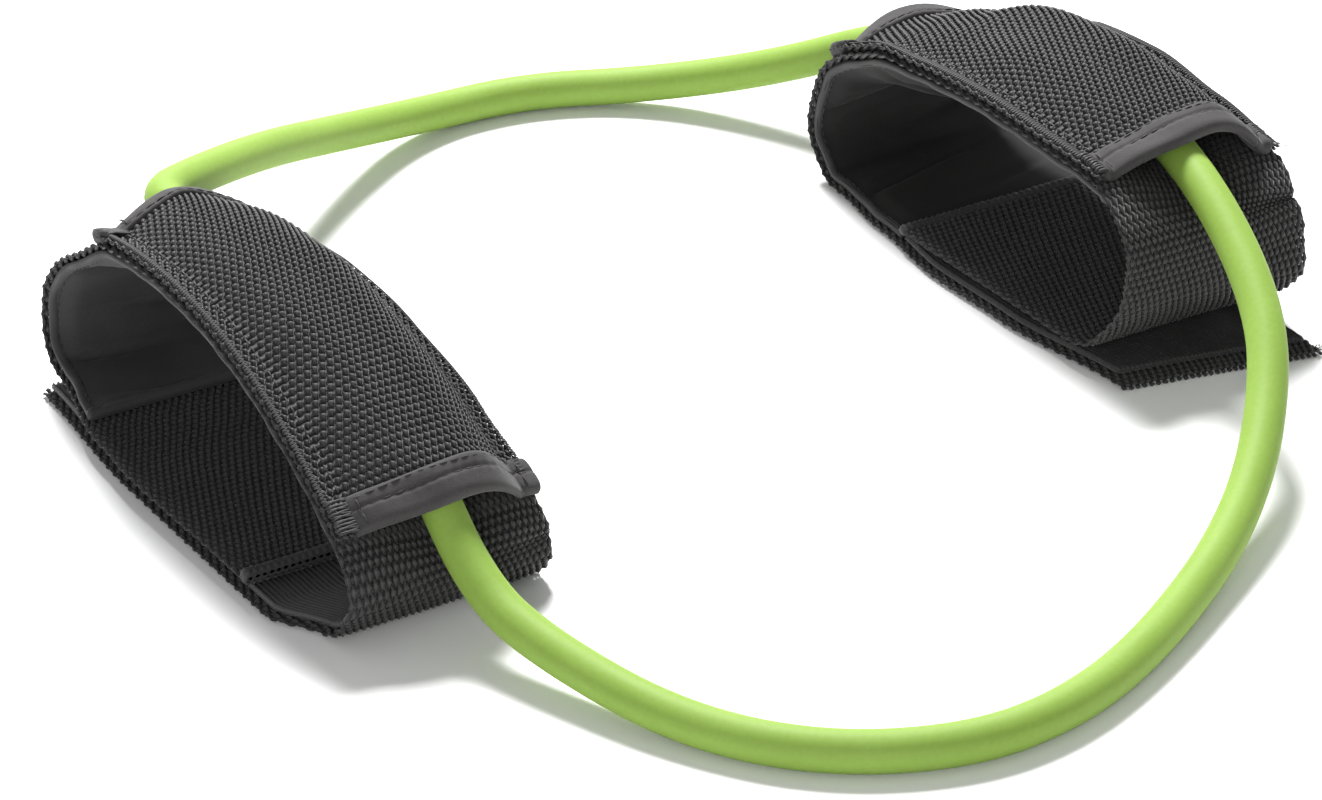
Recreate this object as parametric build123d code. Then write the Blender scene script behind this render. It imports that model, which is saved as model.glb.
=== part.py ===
"""Resistance band: one loop of elastic tube threaded through the sleeves of two ankle cuffs.

The cuffs stand side by side on the floor, z = 0. X runs from one cuff to the other and
through both ankle openings, Y runs along the straps, and +Z is up. Each cuff is a strap
wound once round its ankle opening, so it is drawn as an outline in the YZ plane and given
the strap's width along X. Lengths are in millimetres and angles in degrees.
"""

from build123d import *
from math import cos, radians, sin, tan
import os

# Tube
TUBE_DIAMETER = 8.8
TUBE_BORE = 4.8
CONNECTOR_FLANGE = 1.6
CONNECTOR_SHANK = 13.0
CONNECTOR_BARB = 1.0
CONNECTOR_INSET = 0.2
BARB_LENGTH = 3.0
BARB_PLACES = (0.45, 0.8)

# Strap
STRAP_WIDTH = 50.8
CUFF_SPACING = 196.0
WEBBING = 2.0
TAPE = 1.2
TAPE_MARGIN = 3.0
GAP = 0.3
SEAM_GAP = 0.1
ARCH_CORNERS = 3
ARCH_FILLET = 0.97

# Lining and trims
LINER = 1.5
LINER_MARGIN = 1.0
EDGE_STRIP = 0.8
EDGE_STRIP_WIDTH = 5.0
BINDING = 0.8
BINDING_WIDTH = 8.0
BINDING_LIP = 1.2
BAR_TACK = (3.0, 6.0, 0.6)
BAR_TACK_MARGIN = 1.0

# Sleeve over the tube, as heights above the middle of the strap
SLEEVE_FLANGE = 5.4
SLEEVE_CROWN_HALF_WIDTH = 9.0
TUBE_RISE = 6.4
SLEEVE_CLEARANCE = 1.5

FLOOR_LAYER = WEBBING / 2
UPPER_LAYER = WEBBING + TAPE + GAP + TAPE + WEBBING / 2
SLEEVE_LOW = WEBBING / 2 + SEAM_GAP
LINER_TOP = -WEBBING / 2 - SEAM_GAP


class Cuff:
    """The outline of one cuff, from the strap's inner end round to its free tail."""

    def __init__(self, name, x, centre, tube_radius, arch_ends, mouths, turns):
        self.name = name
        self.x = x
        # The arch and the tube above it turn about one centre, a (y, z) pair
        self.centre = centre
        self.radius = tube_radius - TUBE_RISE
        # Angles from the vertical, positive towards the rear
        self.arch_ends = arch_ends
        self.front_mouth, self.rear_mouth = mouths
        # 1 where the outline goes forwards over the arch, and -1 where it goes backwards
        self.turns = turns

    def polar(self, radius, angle):
        """The (y, z) point at a radius and an angle about the arch's centre."""
        y, z = self.centre
        return y + radius * sin(radians(angle)), z + radius * cos(radians(angle))

    def arch(self):
        """The corners of the arch in the outline's order, which fillets turn into one arc."""
        front, rear = self.arch_ends
        half_step = (rear - front) / (2 * ARCH_CORNERS)
        corner_radius = self.radius / cos(radians(half_step))
        angles = [front + (2 * i + 1) * half_step for i in range(ARCH_CORNERS)]
        corners = [(self.polar(corner_radius, a), ARCH_FILLET * self.radius) for a in angles]
        return corners[:: -self.turns]


left = Cuff("left", -CUFF_SPACING / 2, (7.9, -59.5), 110.4, (-43.5, 15.5), (-41.5, 15), 1)
right = Cuff("right", CUFF_SPACING / 2, (-10, -141.4), 188.9, (-12.2, 18.8), (-12, 18.5), -1)

# Strap outlines from the inner end to the hinge of the flap: each corner with its radius
left.start = (-40, UPPER_LAYER)
left.before_arch = [((63, UPPER_LAYER), 7), ((71.5, 14.5), 6), ((52, 36.2), 14)]
left.after_arch = [((-69.5, 10.4), 5), ((-66, FLOOR_LAYER), 3.5)]
left.hinge, left.tail = -60.0, 62.0
left.hook_tape_ends = (-37, 50)

right.start = (20, UPPER_LAYER)
right.before_arch = [((-50, UPPER_LAYER), 8), ((-61, 20), 10), ((-58.5, 34.8), 5.5)]
right.after_arch = [((60, 27.6), 9), ((64.5, 10), 8), ((56, FLOOR_LAYER), 5)]
right.hinge, right.tail = 51.0, -66.0
right.hook_tape_ends = (17, -38)

# The lining covers the arch and the rear fold of each cuff
left.lining = [((29, UPPER_LAYER), 0), *left.before_arch, *left.arch()]
left.lining.append((left.polar(left.radius, left.arch_ends[0]), 0))
right.lining = [(right.polar(right.radius, right.arch_ends[0]), 0), *right.arch()]
right.lining += [*right.after_arch[:2], ((59.2, 4.4), 0)]

# Route of the tube, from the connector round the front to the right cuff and back
ROUTE = [
    (-98, -0.9, 50.5),
    (-98, -19.2, 49.3),
    (-98, -54.8, 33.4),
    (-98, -77.5, 13.6),
    (-96, -97, 8.4),
    (-85.5, -130, 4.6),
    (-67.5, -153.5, 4.4),
    (-41, -165.5, 4.4),
    (-17, -165, 4.5),
    (9, -154.6, 4.4),
    (46, -132.5, 6.6),
    (70.5, -112, 16),
    (88.3, -87.5, 29.3),
    (98, -43, 45.6),
    (98, -3.4, 48.4),
    (98, 35.9, 42.9),
    (95.8, 66, 32.3),
    (81, 92, 15),
    (60, 116, 5.6),
    (34, 130, 4.4),
    (5, 131, 5),
    (-25, 115, 15.5),
    (-56, 91, 29),
    (-86, 68.5, 40.5),
    (-98.5, 59, 43),
    (-98, 45, 44.8),
    (-98, 19.6, 52),
    (-98, 1.3, 50.7),
]


def largest_radii(points):
    """The radius of the largest arc that the two runs at each corner of a route allow."""
    radii = []
    for before, corner, after in zip(points, points[1:], points[2:]):
        first, second = Vector(corner) - Vector(before), Vector(after) - Vector(corner)
        shorter = min(first.length, second.length)
        radii.append(0.45 * shorter / tan(radians(first.get_angle(second) / 2)))
    return radii


def resistance_tube():
    """The hollow tube, swept along its whole route."""
    points = [Vector(point) for point in ROUTE]
    radii = largest_radii(points)
    path = FilletPolyline(*points, radius=radii)
    start = Plane(points[0], z_dir=points[1] - points[0])
    wall = start * (Circle(TUBE_DIAMETER / 2) - Circle(TUBE_BORE / 2))
    tube = sweep(wall, path)
    area = Circle(TUBE_DIAMETER / 2).area - Circle(TUBE_BORE / 2).area
    print("tube length", round(path.length, 1), "volume ratio", tube.volume / (area * path.length))
    print("arc radii", [round(radius, 1) for radius in radii])
    return tube


def tube_connector():
    """A flanged plug with two barbs on each shank, between the tube's two ends."""
    front, rear = Vector(ROUTE[0]), Vector(ROUTE[-1])
    along = Plane((front + rear) / 2, z_dir=rear - front)
    flange = Cylinder(TUBE_DIAMETER / 2 - CONNECTOR_INSET, CONNECTOR_FLANGE)
    shank = Cylinder(TUBE_BORE / 2, 2 * CONNECTOR_SHANK)
    plug = flange + shank
    for side in (1, -1):
        for reach in BARB_PLACES:
            barb = Cone(TUBE_BORE / 2 + CONNECTOR_BARB / 2, TUBE_BORE / 2, BARB_LENGTH)
            turned = barb if side > 0 else Rot(180, 0, 0) * barb
            plug += Pos(0, 0, side * reach * CONNECTOR_SHANK) * turned
    return along * plug


def shifted(corners, distance):
    """Moves an outline sideways, to the left of its own direction, keeping it parallel."""
    points = [Vector(*point) for point, _ in corners]
    moved = []
    for i, (_, radius) in enumerate(corners):
        before = points[max(i - 1, 0)]
        after = points[min(i + 1, len(points) - 1)]
        first = (points[i] - before) if i > 0 else (after - points[i])
        second = (after - points[i]) if i < len(points) - 1 else first
        normals = [Vector(-run.Y, run.X) / run.length for run in (first, second)]
        middle = (normals[0] + normals[1]).normalized()
        turn = first.X * second.Y - first.Y * second.X
        new_radius = radius - distance if turn > 0 else radius + distance
        moved.append((points[i] + middle * (distance / middle.dot(normals[0])), new_radius))
    return moved


def outline_edge(corners):
    """One side of a band, as straight runs and tangent arcs."""
    points = [point for point, _ in corners]
    if len(points) == 2:
        return Line(*points)
    return FilletPolyline(*points, radius=[radius for _, radius in corners[1:-1]])


def band(cuff, corners, low, high, width, offset=0.0):
    """A strip of cloth along an outline, from low to high above it, away from the ankle."""
    sides = [outline_edge(shifted(corners, -cuff.turns * level)) for level in (low, high)]
    ends = [Line(sides[0] @ at, sides[1] @ at) for at in (0, 1)]
    face = make_face(Curve() + [sides[0], sides[1], *ends])
    standing = Plane((cuff.x + offset - width / 2, 0, 0), x_dir=(0, 1, 0), z_dir=(1, 0, 0))
    return extrude(standing * face, amount=width, dir=(1, 0, 0))


def strap_outline(cuff):
    """The strap's whole bend, from its inner end to the hinge of its flap."""
    end = (cuff.hinge - cuff.turns * GAP, FLOOR_LAYER)
    corners = cuff.before_arch + cuff.arch() + cuff.after_arch
    return [(cuff.start, 0), *corners, (end, 0)]


def strap_webbing(cuff):
    """The inner strap end, both folds and the arch, in one length of webbing."""
    return band(cuff, strap_outline(cuff), -WEBBING / 2, WEBBING / 2, STRAP_WIDTH)


def floor_strip(cuff, first, last, low, high, width):
    """A flat strip under the cuff, between two places along Y."""
    length, thickness = abs(last - first), high - low
    return Pos(cuff.x, (first + last) / 2, (low + high) / 2) * Box(width, length, thickness)


def closure_flap(cuff):
    """The outer strap on the floor, with the free tail at its end."""
    return floor_strip(cuff, cuff.hinge, cuff.tail, 0, WEBBING, STRAP_WIDTH)


def loop_tape(cuff):
    """The soft tape on the flap's upper face."""
    first = cuff.hinge + cuff.turns * TAPE_MARGIN
    last = cuff.tail - cuff.turns * TAPE_MARGIN / 2
    return floor_strip(cuff, first, last, WEBBING, WEBBING + TAPE, STRAP_WIDTH - TAPE_MARGIN)


def hook_tape(cuff):
    """The hooked tape on the inner strap's lower face."""
    top = UPPER_LAYER - WEBBING / 2
    return floor_strip(cuff, *cuff.hook_tape_ends, top - TAPE, top, STRAP_WIDTH - TAPE_MARGIN)


def turned_band(cuff, profile, first_angle, last_angle):
    """Turns a profile of (x, height above the strap's middle) about the arch's centre."""
    y, z = cuff.centre
    points = [(x, cuff.radius + height) for x, height in profile]
    face = make_face(Polyline(*points, close=True))
    start = Plane((cuff.x, y, z), x_dir=(1, 0, 0), z_dir=(0, -1, 0)).rotated((-first_angle, 0, 0))
    return revolve(start * face, Axis((cuff.x, y, z), (-1, 0, 0)), last_angle - first_angle)


def sleeve_profile(low, high):
    """A section of the sleeve between two levels: flat edges and a raised crown."""
    edge = STRAP_WIDTH / 2
    inner_edge = STRAP_WIDTH / 2 - SLEEVE_FLANGE
    crown = TUBE_RISE + TUBE_DIAMETER / 2 + SLEEVE_CLEARANCE - WEBBING / 2
    half = [(edge, 0), (inner_edge, 0), (SLEEVE_CROWN_HALF_WIDTH, crown)]
    across = half + [(-x, height) for x, height in reversed(half)]
    upper = [(x, height + high) for x, height in across]
    lower = [(x, height + low) for x, height in reversed(across)]
    return upper + lower


def sleeve_webbing(cuff):
    """The second layer of webbing, which the tube runs under."""
    profile = sleeve_profile(SLEEVE_LOW, SLEEVE_LOW + WEBBING)
    return turned_band(cuff, profile, cuff.front_mouth, cuff.rear_mouth)


def angle_of(cuff, length):
    """The angle that a length along the sleeve takes up."""
    return length / radians(1) / (cuff.radius + WEBBING)


def sleeve_binding(cuff, mouth, inward):
    """Folded tape over one open end of the sleeve, with a lip past the end."""
    low, high = SLEEVE_LOW, SLEEVE_LOW + WEBBING
    lip = mouth - inward * angle_of(cuff, BINDING_LIP)
    ends = sorted((lip, mouth + inward * angle_of(cuff, BINDING_WIDTH)))
    upper = turned_band(cuff, sleeve_profile(high, high + BINDING), *ends)
    return upper + turned_band(cuff, sleeve_profile(low, high), *sorted((lip, mouth)))


def bar_tacks(cuff):
    """Dense blocks of thread that hold the sleeve's four corners."""
    width, length, height = BAR_TACK
    base = SLEEVE_LOW + WEBBING + BINDING
    tacks = []
    for mouth, inward in ((cuff.front_mouth, 1), (cuff.rear_mouth, -1)):
        near = mouth + inward * angle_of(cuff, BAR_TACK_MARGIN)
        ends = sorted((near, near + inward * angle_of(cuff, length)))
        for side in (1, -1):
            x = side * (STRAP_WIDTH / 2 - BAR_TACK_MARGIN - width / 2)
            corners = [(x - width / 2, base), (x + width / 2, base)]
            corners += [(x + width / 2, base + height), (x - width / 2, base + height)]
            tacks.append(turned_band(cuff, corners, *ends))
    return Compound(children=tacks)


def liner(cuff):
    """The smooth foam-backed cloth against the ankle."""
    width = STRAP_WIDTH - 2 * LINER_MARGIN
    return band(cuff, cuff.lining, LINER_TOP - LINER, LINER_TOP, width)


def liner_binding(cuff):
    """The stitched edge strips along the liner's two rims."""
    top = LINER_TOP - LINER
    strips = []
    for side in (1, -1):
        offset = side * (STRAP_WIDTH / 2 - LINER_MARGIN - EDGE_STRIP_WIDTH / 2)
        strips.append(band(cuff, cuff.lining, top - EDGE_STRIP, top, EDGE_STRIP_WIDTH, offset))
    return Compound(children=strips)


def cuff_nodes(cuff):
    """Every node of one cuff, by name."""
    parts = {
        "strap_webbing": strap_webbing(cuff),
        "closure_flap": closure_flap(cuff),
        "loop_tape": loop_tape(cuff),
        "hook_tape": hook_tape(cuff),
        "sleeve_webbing": sleeve_webbing(cuff),
        "front_binding": sleeve_binding(cuff, cuff.front_mouth, 1),
        "rear_binding": sleeve_binding(cuff, cuff.rear_mouth, -1),
        "bar_tacks": bar_tacks(cuff),
        "liner": liner(cuff),
        "liner_binding": liner_binding(cuff),
    }
    return {f"{cuff.name}_{name}": part for name, part in parts.items()}


nodes = {"resistance_tube": resistance_tube(), "tube_connector": tube_connector()}
for one_cuff in (left, right):
    nodes.update(cuff_nodes(one_cuff))

os.makedirs("parts", exist_ok=True)
for node, shape in nodes.items():
    export_step(shape, f"parts/{node}.step")
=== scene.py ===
"""The looks of the resistance band: an elastic tube through the sleeves of two woven cuffs.

Sizes in this file are in millimetres, apart from the tube's route and the camera, and each
mesh is turned into metres when it is made. A place on a cuff is given as (s, x, h): the
distance s along a strip of cloth, x across it from its middle line, and h above its middle
surface, away from the ankle.
"""

from math import acos, atan2, ceil, cos, pi, radians, sin, tan

import bpy
import numpy as np
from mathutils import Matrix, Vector


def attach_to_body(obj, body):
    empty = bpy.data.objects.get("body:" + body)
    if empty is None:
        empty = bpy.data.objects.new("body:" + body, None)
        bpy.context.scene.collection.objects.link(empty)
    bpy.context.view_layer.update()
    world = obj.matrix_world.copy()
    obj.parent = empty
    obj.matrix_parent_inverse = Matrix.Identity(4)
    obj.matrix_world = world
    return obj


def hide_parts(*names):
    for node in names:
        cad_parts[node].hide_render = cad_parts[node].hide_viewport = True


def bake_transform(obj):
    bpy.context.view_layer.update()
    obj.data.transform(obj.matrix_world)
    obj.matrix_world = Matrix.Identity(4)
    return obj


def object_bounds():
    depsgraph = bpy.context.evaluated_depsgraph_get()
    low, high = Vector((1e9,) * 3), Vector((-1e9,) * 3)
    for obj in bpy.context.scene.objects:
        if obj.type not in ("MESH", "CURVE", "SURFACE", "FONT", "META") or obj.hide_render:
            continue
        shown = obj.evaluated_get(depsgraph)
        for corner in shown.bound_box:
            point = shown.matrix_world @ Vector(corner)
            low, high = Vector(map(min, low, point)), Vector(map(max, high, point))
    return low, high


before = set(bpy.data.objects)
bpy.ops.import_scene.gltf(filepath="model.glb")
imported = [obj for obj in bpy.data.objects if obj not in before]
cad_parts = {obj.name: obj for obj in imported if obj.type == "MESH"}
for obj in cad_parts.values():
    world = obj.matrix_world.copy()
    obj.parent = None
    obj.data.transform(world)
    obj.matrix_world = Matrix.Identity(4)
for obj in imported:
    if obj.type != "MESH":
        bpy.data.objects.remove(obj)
cad_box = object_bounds()

MM = 0.001

# Tube, in metres: its route starts and ends at the connector, inside the left sleeve
TUBE_DIAMETER = 0.0088
ROUTE = [
    (-0.098, -0.0009, 0.0504),
    (-0.098, -0.0192, 0.0493),
    (-0.0990, -0.0548, 0.0334),
    (-0.0988, -0.0775, 0.0136),
    (-0.0951, -0.0968, 0.0084),
    (-0.0843, -0.1293, 0.0046),
    (-0.0668, -0.1529, 0.0044),
    (-0.041, -0.1655, 0.0044),
    (-0.017, -0.165, 0.0045),
    (0.0095, -0.1548, 0.0044),
    (0.0465, -0.1328, 0.0066),
    (0.071, -0.1124, 0.016),
    (0.0882, -0.0889, 0.0304),
    (0.0979, -0.0441, 0.0464),
    (0.098, -0.0034, 0.0484),
    (0.098, 0.0359, 0.0389),
    (0.0958, 0.066, 0.0285),
    (0.081, 0.092, 0.0138),
    (0.060, 0.116, 0.0050),
    (0.034, 0.1295, 0.0044),
    (0.005, 0.130, 0.005),
    (-0.025, 0.1145, 0.0146),
    (-0.056, 0.0915, 0.0282),
    (-0.086, 0.0685, 0.0388),
    (-0.0987, 0.059, 0.0418),
    (-0.0992, 0.045, 0.0424),
    (-0.0986, 0.0196, 0.0500),
    (-0.098, 0.0013, 0.0505),
]

# Camera, in metres and degrees
VIEW_FROM = (-0.5428, -0.8629, 0.5556)
VIEW_TURN = 31.8
VIEW_TILT = 29.0
LENS = 144.3

# Light and floor, in metres and watts: each softbox has a place, a size and a power
KEY = ((0.38, 0.95, 1.5), 0.5, 84)
FILL = ((-1.0, -1.2, 0.7), 0.6, 9)
SKY = 0.36
FLOOR_SIZE = 8
FLOOR_WHITE = 0.93

# Cuffs: the middle of the inner strap lies at UPPER_LAYER above the floor, and the middle of
# the tube at TUBE_RISE above the strap. The arch is looked up a little past its ends, and the
# outline runs past the tail.
STRAP_WIDTH = 50.8
CUFF_SPACING = 196.0
WEBBING = 2.0
UPPER_LAYER = 5.7
TUBE_RISE = 6.4
ARCH_CORNERS = 3
ARCH_FILLET = 0.97
PAST_ARCH = 12
PAST_TAIL = 10
TAIL_LEAN_FROM = 20

# The strap is bowed down between its long edges, and the sleeve is bowed up over the tube.
# The sleeve's highest line leans from the middle, and changes over to the other side in a
# span given as shares of its length. The cloth's far side sags from SAG_FROM outwards.
RIM_RISE = 4.5
SEAM = 20.6
SLEEVE_CROWN = 13.3
SLEEVE_ROUNDNESS = 1.35
CROWN_LEAN = 4.0
LEAN_CHANGE = 1.2
LEAN_CHANGE_SPAN = (0.55, 0.95)
SEAM_DIP = 0.35
SEAM_DIP_WIDTH = 1.2
BEND_EASING = 4.5
SAG_FROM = -9.0
SAG_CURVE = 1.8

# Weave: warp ends run along the strap, and one weft pick crosses it every PICK_PITCH. The
# crown of a strand is 1 where it stands proud and less where it dips, and shade is painted
# into the colour where it dips, down to a share of the dark colour. The weft's low crown gives
# it that painted shade too.
END_PITCH = 0.8
PICK_PITCH = 1.82
WARP_SWING = 0.60
WARP_HALF_WIDTH = 0.63
WARP_HALF_HEIGHT = 0.42
WARP_PINCH = 0.5
WEFT_HALF_WIDTH = 0.92
WEFT_HALF_HEIGHT = 0.24
WEFT_LOOP = 0.2
WEFT_CROWN = 0.25
PAINTED_DIP_SHADE = 0.4
UNEVEN = 0.05
END_SHAKE = 0.03
QUARTERS = np.radians([0, 90, 180, 270])

# Trims: the tapes that bind the sleeve, the threads' radii, the lining and the flap's tapes
FRONT_TAPE_WIDTH = 8.0
REAR_TAPE_WIDTH = 6.0
TAPE_STITCH = 4.6
TAPE_HEIGHT = 1.7
TAB_WIDTH = 4.6
REAR_TAB_WIDTH = 3.4
SEAM_THREAD = 0.17
TACK_THREAD_SIZE = 0.3
LINING_THREAD = 0.16
STITCH_PITCH = 2.6
STITCH_LENGTH = 2.1
ZIGZAG_PITCH = 0.85
TACK_STEPS = 18
TACK_PITCH = 0.45
HEM_INSET = 1.2
HEM_TOP = 1.4
LINER = 1.5
LINER_MARGIN = 1.0
CREASE_PITCH = 17
RIM_SIDES = 12
RIM_STATIONS = 150
TAPE_MARGIN = 1.8
RIB_PITCH = 1.1
HOOK_PITCH = (1.4, 1.2)

# Loose fibres at a cut end
FRAY_COUNT = 16
FRAY_STATIONS = 7
FRAY_RADIUS = 0.09

# How far off the middle line a surface's handedness is measured
OFF_MIDDLE = 3.0


class Outline:
    """A line in the YZ plane, with places along it by distance."""

    def __init__(self, corners, turns, step=0.2):
        points = np.array(rounded(corners, step))
        reach = np.concatenate([[0], np.cumsum(np.linalg.norm(np.diff(points, axis=0), axis=1))])
        keep = np.concatenate([[True], np.diff(reach) > 1e-6])
        self.length = reach[-1]
        self.s = np.arange(0, self.length, step)
        self.y = eased_line(np.interp(self.s, reach[keep], points[keep, 0]), step)
        self.z = eased_line(np.interp(self.s, reach[keep], points[keep, 1]), step)
        along = np.gradient(np.stack([self.y, self.z], -1), axis=0)
        along /= np.linalg.norm(along, axis=1)[:, None]
        self.out_y, self.out_z = turns * along[:, 1], -turns * along[:, 0]

    def at(self, s, h):
        """The (y, z) places a height h above the line, and s along it."""
        y, z, out_y, out_z = (
            np.interp(s, self.s, row) for row in (self.y, self.z, self.out_y, self.out_z)
        )
        return y + h * out_y, z + h * out_z

    def nearest(self, y, z):
        """The distance along the line at which it passes nearest to a place."""
        return float(self.s[np.argmin((self.y - y) ** 2 + (self.z - z) ** 2)])


def eased_line(values, step):
    """The values averaged over a short reach, so that a line's bend grows gradually."""
    window = np.hanning(2 * round(BEND_EASING / step) + 1)
    half = len(window) // 2
    before = 2 * values[0] - values[half:0:-1]
    after = 2 * values[-1] - values[-2 : -half - 2 : -1]
    return np.convolve(np.concatenate([before, values, after]), window / window.sum(), "valid")


def rounded(corners, step):
    """Points along straight runs joined by tangent arcs."""
    places = [np.array(place, float) for place, _ in corners]
    points = [places[0]]
    for before, corner, after, (_, radius) in zip(places, places[1:], places[2:], corners[1:]):
        back = (before - corner) / np.linalg.norm(before - corner)
        on = (after - corner) / np.linalg.norm(after - corner)
        half = acos(np.clip(back @ on, -1, 1)) / 2
        middle = corner + (back + on) / np.linalg.norm(back + on) * radius / sin(half)
        first, last = (corner + run * radius / tan(half) - middle for run in (back, on))
        start = atan2(first[1], first[0])
        turn = (atan2(last[1], last[0]) - start + pi) % (2 * pi) - pi
        for share in np.linspace(0, 1, max(2, ceil(abs(turn) * radius / step))):
            angle = start + turn * share
            points.append(middle + radius * np.array([cos(angle), sin(angle)]))
    return points + [places[-1]]


def ease(value, start, end):
    """0 before start and 1 after end, smooth between them."""
    t = np.clip((value - start) / (end - start), 0, 1)
    return t * t * (3 - 2 * t)


class Cuff:
    """One cuff: the outline of its strap and the surfaces that its cloth follows. It turns 1
    where the outline goes forwards over the arch, and -1 where it goes backwards."""

    def __init__(self, name, x, centre, tube_radius, arch_ends, mouths, turns):
        self.name, self.x, self.centre, self.turns = name, x, centre, turns
        self.radius = tube_radius - TUBE_RISE
        self.arch_ends = arch_ends
        self.front_mouth, self.rear_mouth = mouths

    def polar(self, radius, angle):
        """The (y, z) place at a radius and an angle about the arch's centre."""
        y, z = self.centre
        return y + radius * sin(radians(angle)), z + radius * cos(radians(angle))

    def arch(self):
        """The corners of the arch in the outline's order, which its radius turns into one arc."""
        front, rear = self.arch_ends
        half_step = (rear - front) / (2 * ARCH_CORNERS)
        reach = self.radius / cos(radians(half_step))
        angles = [front + (2 * i + 1) * half_step for i in range(ARCH_CORNERS)]
        corners = [(self.polar(reach, angle), ARCH_FILLET * self.radius) for angle in angles]
        return corners[:: -self.turns]

    def trace(self, start, before_arch, after_arch, hinge, tail, fades):
        """Sets the strap's outline, from its inner end to its tail."""
        beyond = (tail + PAST_TAIL * self.turns, WEBBING / 2)
        corners = [(start, 0), *before_arch, *self.arch(), *after_arch, (beyond, 0)]
        self.outline = Outline(corners, self.turns)
        ends = [self.outline.nearest(*self.polar(self.radius, a)) for a in self.arch_ends]
        self.arch_start, self.arch_stop = sorted(ends)
        self.hinge = self.outline.nearest(hinge, WEBBING / 2)
        self.end = self.outline.nearest(tail, WEBBING / 2)
        self.fades = fades
        self.arch_places = self.find_arch()

    def find_arch(self):
        """The angle, radius and s of places along the arch, and a little past its ends."""
        s = np.arange(self.arch_start - PAST_ARCH, self.arch_stop + PAST_ARCH, 0.5)
        y, z = (at - middle for at, middle in zip(self.outline.at(s, 0), self.centre))
        angle = np.arctan2(y, z)
        order = np.argsort(angle)
        return angle[order], np.hypot(y, z)[order], s[order]

    def rim_rise(self, s):
        """How far the strap's long edges stand above its middle line."""
        before, after = self.fades
        rise = ease(s, self.arch_start - before, self.arch_start + 2)
        return RIM_RISE * rise * (1 - ease(s, self.arch_stop - 2, self.arch_stop + after))

    def strap(self, s, x, h):
        """Places on the strap and its flap."""
        drop, sideways = self.sag(s, x)
        lean = self.tail_lean * x / STRAP_WIDTH * ease(s, self.hinge + TAIL_LEAN_FROM, self.end)
        y, z = self.outline.at(s + lean, h + self.rim_rise(s) * edge_rise(x) - drop)
        return np.stack(np.broadcast_arrays(self.x + x + sideways, y, z), -1) * MM

    def sag(self, s, x):
        """How far the cloth has sunk at a place on the strap, and how far it is moved across."""
        far = np.clip((x - SAG_FROM) / (STRAP_WIDTH / 2 - SAG_FROM), 0, None)
        near = np.clip(-2 * x / STRAP_WIDTH, 0, None)
        sink, near_drop, far_drop, pull, shift = (
            blended(s, self.settled, column) for column in range(1, 6)
        )
        drop = sink + near_drop * near**SAG_CURVE + far_drop * far**SAG_CURVE
        return drop, shift - pull * far

    def sleeve_length(self):
        """The distance along the sleeve's crown from mouth to mouth."""
        return radians(self.rear_mouth - self.front_mouth) * (self.radius + SLEEVE_CROWN)

    def sleeve(self, s, x, h):
        """Places on the sleeve, with s from its front mouth to its rear one."""
        lean = CROWN_LEAN * (1 - LEAN_CHANGE * ease(s / self.sleeve_length(), *LEAN_CHANGE_SPAN))
        reach = SEAM - lean * np.sign(x - lean)
        share = np.clip(np.abs(x - lean) / reach, 0, 1)
        bow = (SLEEVE_CROWN - WEBBING) * (1 - share**2) ** SLEEVE_ROUNDNESS
        dip = SEAM_DIP * np.exp(-(((np.abs(x) - SEAM) / SEAM_DIP_WIDTH) ** 2))
        angle = np.radians(self.front_mouth) + s / (self.radius + SLEEVE_CROWN)
        base = np.interp(angle, self.arch_places[0], self.arch_places[1])
        beneath = np.interp(angle, self.arch_places[0], self.arch_places[2])
        drop, sideways = self.sag(beneath, x)
        ruck = self.ripple * ripples(s, x) * (1 - share**2)
        rise = self.rim_rise(beneath) * edge_rise(x)
        radius = base + WEBBING + rise + bow + ruck - dip - drop + h
        y, z = self.centre
        places = (self.x + x + sideways, y + radius * np.sin(angle), z + radius * np.cos(angle))
        return np.stack(np.broadcast_arrays(*places), -1) * MM


def ripples(s, x):
    """Low uneven waves in the sleeve, about 1 high."""
    broad = np.sin(0.13 * s + 0.21 * x + 1) * np.sin(0.07 * s - 0.11 * x)
    return broad + 0.4 * np.sin(0.23 * s - 0.16 * x)


def blended(s, rows, column):
    """A value that passes smoothly from row to row, each row being (s, values)."""
    total = rows[0][column]
    for before, after in zip(rows, rows[1:]):
        total = total + (after[column] - before[column]) * ease(s, before[0], after[0])
    return total


def edge_rise(x):
    """0 at the middle of the strap and 1 from the seams out."""
    return (1 - np.cos(pi * np.clip(np.abs(x) / SEAM, 0, 1))) / 2


def build(name, points, faces, material, crown=None):
    """A mesh object from arrays of places and of four-cornered faces."""
    mesh = bpy.data.meshes.new(name)
    mesh.vertices.add(len(points))
    mesh.vertices.foreach_set("co", points.astype(np.float32).ravel())
    mesh.loops.add(faces.size)
    mesh.loops.foreach_set("vertex_index", faces.astype(np.int32).ravel())
    mesh.polygons.add(len(faces))
    mesh.polygons.foreach_set("loop_start", np.arange(0, faces.size, 4, dtype=np.int32))
    mesh.polygons.foreach_set("use_smooth", np.ones(len(faces), bool))
    mesh.update(calc_edges=True)
    if crown is not None:
        mesh.attributes.new("crown", "FLOAT", "POINT").data.foreach_set("value", crown)
    mesh.materials.append(material)
    piece = bpy.data.objects.new(name, mesh)
    bpy.context.scene.collection.objects.link(piece)
    return piece


def handedness(place, at):
    """1 where x, s and h make a right-handed set at a place, and -1 where they don't."""
    s, x, h = at
    here = place(s, x, h)
    sides = [place(s, x + 0.1, h) - here, place(s + 0.1, x, h) - here, place(s, x, h + 0.1) - here]
    return 1 if np.linalg.det(np.array(sides)) > 0 else -1


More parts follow.
